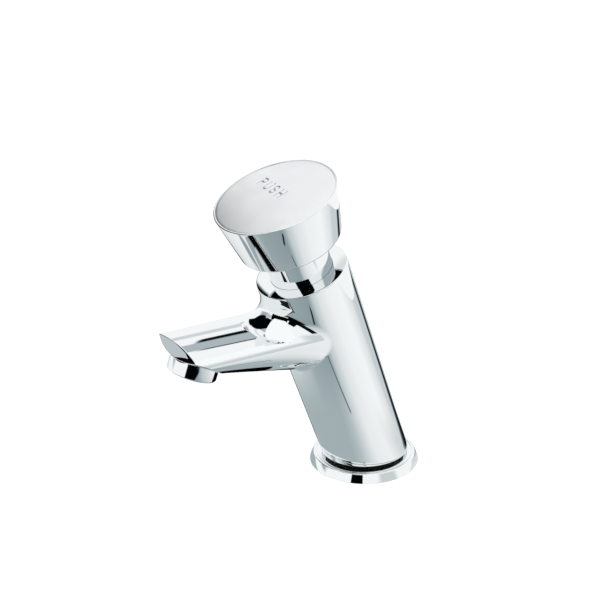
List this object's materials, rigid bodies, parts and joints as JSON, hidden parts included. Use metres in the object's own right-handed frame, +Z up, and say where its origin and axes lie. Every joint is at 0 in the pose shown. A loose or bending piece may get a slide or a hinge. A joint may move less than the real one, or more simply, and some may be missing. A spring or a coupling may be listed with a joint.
{
  "type": "self-closing push-button basin tap",
  "caption": "Deck-mounted chrome basin tap: leaning round column, flat-topped spout with aerator, and a conical push button that closes itself.",
  "frame": {"origin": "on the shank's axis, in the plane of the deck face, at the centre of the flange's underside", "axes": "+Z up out of the deck, the spout points to -Y, and X = 0 is the plane of symmetry"},
  "size_m": [0.055, 0.1222, 0.1928],
  "materials": {
    "chrome": "polished chrome plate",
    "satin_metal": "satin",
    "brass": "machined",
    "rubber": "matt black",
    "plastic": "moulded",
    "steel": "stainless"
  },
  "bodies": {
    "tap": {"tap_body": "chrome", "base_flange": "chrome", "flange_gasket": "rubber", "threaded_shank": "brass", "shank_o_ring": "rubber", "inlet_filter": "steel", "deck_rubber_washer": "rubber", "deck_metal_washer": "steel", "lock_nut": "brass", "bonnet": "chrome", "bonnet_o_ring": "rubber", "guide_bush": "plastic", "stem_wiper": "rubber", "stem_seal": "rubber", "seal_carrier": "brass", "cartridge_sleeve": "brass", "sleeve_o_ring_lower": "rubber", "sleeve_o_ring_upper": "rubber", "return_spring": "steel", "aerator_housing": "chrome", "aerator_screen": "steel", "aerator_insert": "plastic", "aerator_washer": "rubber"},
    "button": {"push_cap": "chrome", "cap_plate": "satin_metal", "cap_screw": "steel", "cap_lock_washer": "steel", "stem": "steel", "piston": "plastic", "piston_seal": "rubber", "piston_clip": "steel", "metering_pin": "steel", "valve_washer": "rubber", "valve_holder": "brass", "valve_nut": "brass"}
  },
  "joints": [
    {"name": "button_push", "type": "slide", "parent": "tap", "child": "button", "axis": [0, 0.3289, -0.9444], "range_m": [0, 0.009], "stiffness_N_per_m": 1800, "springref_m": -0.006, "deforming": ["return_spring"]}
  ]
}
